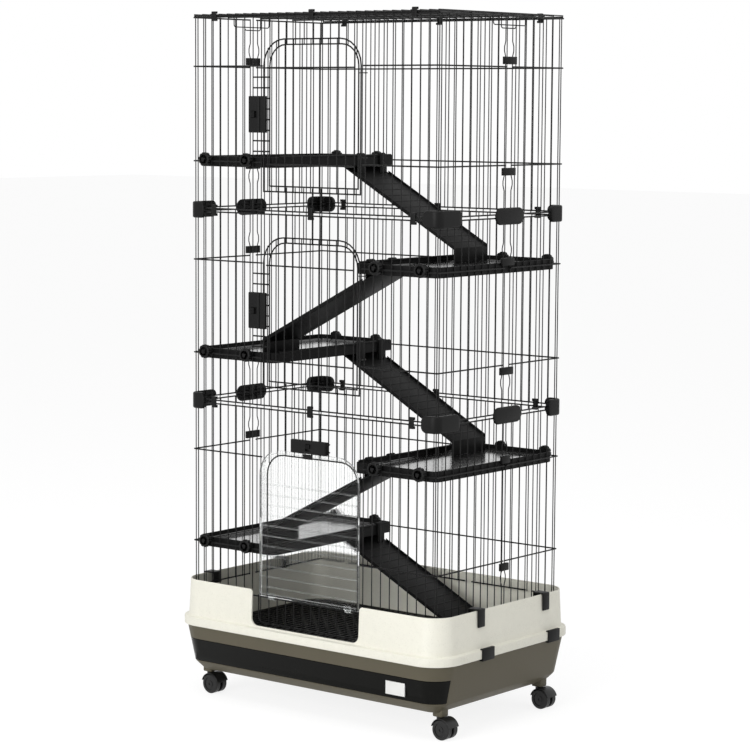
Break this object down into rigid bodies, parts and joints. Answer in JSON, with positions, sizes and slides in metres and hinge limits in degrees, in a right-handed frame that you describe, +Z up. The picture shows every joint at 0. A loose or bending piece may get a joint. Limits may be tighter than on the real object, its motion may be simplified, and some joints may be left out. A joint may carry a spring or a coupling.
{
  "type": "small animal cage",
  "caption": "Tall wire cage for small animals on a castered tub with a cream surround, a pull-out litter drawer, arched doors, clip-in platforms and ramps.",
  "frame": {"origin": "on the floor under the middle of the cage", "axes": "+Z up, -Y towards the doors, +X to the right seen from the front"},
  "size_m": [0.8062, 0.53, 1.608],
  "materials": {
    "black_wire": "satin black enamel",
    "black_fittings": "satin moulded",
    "black_shelf_plastic": "fine grained",
    "cream_plastic": "speckled, satin",
    "taupe_plastic": "satin",
    "drawer_gloss": "gloss",
    "clear_plastic": "clear, smoky",
    "caster_plastic": "gloss",
    "wheel_plastic": "worn satin"
  },
  "bodies": {
    "cage": {"back_panel_lower": "black_wire", "back_panel_middle": "black_wire", "back_panel_upper": "black_wire", "clamp_knobs": "black_fittings", "corner_pieces_lower": "black_fittings", "corner_pieces_upper": "black_fittings", "doorway_lower": "black_wire", "doorway_middle": "black_wire", "doorway_upper": "black_wire", "flange_clips": "black_fittings", "floor_grid": "black_shelf_plastic", "front_panel_lower": "black_wire", "front_panel_middle": "black_wire", "front_panel_upper": "black_wire", "latch_lower": "black_fittings", "latch_middle": "black_fittings", "latch_upper": "black_fittings", "left_panel_lower": "black_wire", "left_panel_middle": "black_wire", "left_panel_upper": "black_wire", "platform_1": "black_shelf_plastic", "platform_2": "black_shelf_plastic", "platform_3": "black_shelf_plastic", "platform_4": "black_shelf_plastic", "platform_5": "black_shelf_plastic", "rail_clips": "black_fittings", "right_panel_lower": "black_wire", "right_panel_middle": "black_wire", "right_panel_upper": "black_wire", "roof_panel": "black_wire", "seam_ovals": "black_fittings", "seam_sleeves": "black_fittings", "surround": "cream_plastic", "surround_hooks": "black_fittings", "tub": "taupe_plastic"},
    "door_lower": {"door_lower": "clear_plastic"},
    "bolt_lower": {"bolt_lower": "black_fittings"},
    "door_middle": {"door_middle": "black_wire"},
    "bolt_middle": {"bolt_middle": "black_fittings"},
    "door_upper": {"door_upper": "black_wire"},
    "bolt_upper": {"bolt_upper": "black_fittings"},
    "drawer": {"drawer": "drawer_gloss"},
    "ramp_1": {"ramp_1": "black_shelf_plastic"},
    "ramp_2": {"ramp_2": "black_shelf_plastic"},
    "ramp_3": {"ramp_3": "black_shelf_plastic"},
    "ramp_4": {"ramp_4": "black_shelf_plastic"},
    "ramp_5": {"ramp_5": "black_shelf_plastic"},
    "caster_front_left": {"caster_front_left": "caster_plastic"},
    "wheels_front_left": {"wheels_front_left": "wheel_plastic"},
    "caster_front_right": {"caster_front_right": "caster_plastic"},
    "wheels_front_right": {"wheels_front_right": "wheel_plastic"},
    "caster_back_left": {"caster_back_left": "caster_plastic"},
    "wheels_back_left": {"wheels_back_left": "wheel_plastic"},
    "caster_back_right": {"caster_back_right": "caster_plastic"},
    "wheels_back_right": {"wheels_back_right": "wheel_plastic"}
  },
  "joints": [
    {"name": "door_middle_hinge", "type": "hinge", "parent": "cage", "child": "door_middle", "pos_m": [0.1524, -0.2286, 0.927], "axis": [0, 0, 1], "range_deg": [0, 110]},
    {"name": "bolt_middle_slide", "type": "slide", "parent": "cage", "child": "bolt_middle", "axis": [1, 0, 0], "range_m": [0, 0.006]},
    {"name": "door_upper_hinge", "type": "hinge", "parent": "cage", "child": "door_upper", "pos_m": [0.1524, -0.2286, 1.374], "axis": [0, 0, 1], "range_deg": [0, 110]},
    {"name": "bolt_upper_slide", "type": "slide", "parent": "cage", "child": "bolt_upper", "axis": [1, 0, 0], "range_m": [0, 0.006]},
    {"name": "door_lower_hinge", "type": "hinge", "parent": "cage", "child": "door_lower", "pos_m": [0, -0.23165, 0.262], "axis": [1, 0, 0], "range_deg": [0, 108]},
    {"name": "bolt_lower_slide", "type": "slide", "parent": "cage", "child": "bolt_lower", "axis": [0, 0, -1], "range_m": [0, 0.006]},
    {"name": "drawer_slide", "type": "slide", "parent": "cage", "child": "drawer", "axis": [0, -1, 0], "range_m": [0, 0.4]},
    {"name": "ramp_1_hinge", "type": "hinge", "parent": "cage", "child": "ramp_1", "pos_m": [-0.11945, 0.128, 0.383], "axis": [0, -1, 0], "range_deg": [0, 35]},
    {"name": "ramp_2_hinge", "type": "hinge", "parent": "cage", "child": "ramp_2", "pos_m": [0.11945, -0.128, 0.601], "axis": [0, 1, 0], "range_deg": [0, 35]},
    {"name": "ramp_3_hinge", "type": "hinge", "parent": "cage", "child": "ramp_3", "pos_m": [-0.11945, 0.128, 0.83], "axis": [0, -1, 0], "range_deg": [0, 35]},
    {"name": "ramp_4_hinge", "type": "hinge", "parent": "cage", "child": "ramp_4", "pos_m": [0.11945, -0.128, 1.048], "axis": [0, 1, 0], "range_deg": [0, 35]},
    {"name": "ramp_5_hinge", "type": "hinge", "parent": "cage", "child": "ramp_5", "pos_m": [-0.11945, 0.128, 1.277], "axis": [0, -1, 0], "range_deg": [0, 35]},
    {"name": "swivel_front_left", "type": "hinge", "parent": "cage", "child": "caster_front_left", "pos_m": [-0.345, -0.19, 0.05], "axis": [0, 0, 1], "continuous": true},
    {"name": "roll_front_left", "type": "hinge", "parent": "caster_front_left", "child": "wheels_front_left", "pos_m": [-0.332, -0.19, 0.023], "axis": [0, 1, 0], "continuous": true},
    {"name": "swivel_front_right", "type": "hinge", "parent": "cage", "child": "caster_front_right", "pos_m": [0.345, -0.19, 0.05], "axis": [0, 0, 1], "continuous": true},
    {"name": "roll_front_right", "type": "hinge", "parent": "caster_front_right", "child": "wheels_front_right", "pos_m": [0.358, -0.19, 0.023], "axis": [0, 1, 0], "continuous": true},
    {"name": "swivel_back_left", "type": "hinge", "parent": "cage", "child": "caster_back_left", "pos_m": [-0.345, 0.19, 0.05], "axis": [0, 0, 1], "continuous": true},
    {"name": "roll_back_left", "type": "hinge", "parent": "caster_back_left", "child": "wheels_back_left", "pos_m": [-0.332, 0.19, 0.023], "axis": [0, 1, 0], "continuous": true},
    {"name": "swivel_back_right", "type": "hinge", "parent": "cage", "child": "caster_back_right", "pos_m": [0.345, 0.19, 0.05], "axis": [0, 0, 1], "continuous": true},
    {"name": "roll_back_right", "type": "hinge", "parent": "caster_back_right", "child": "wheels_back_right", "pos_m": [0.358, 0.19, 0.023], "axis": [0, 1, 0], "continuous": true}
  ]
}
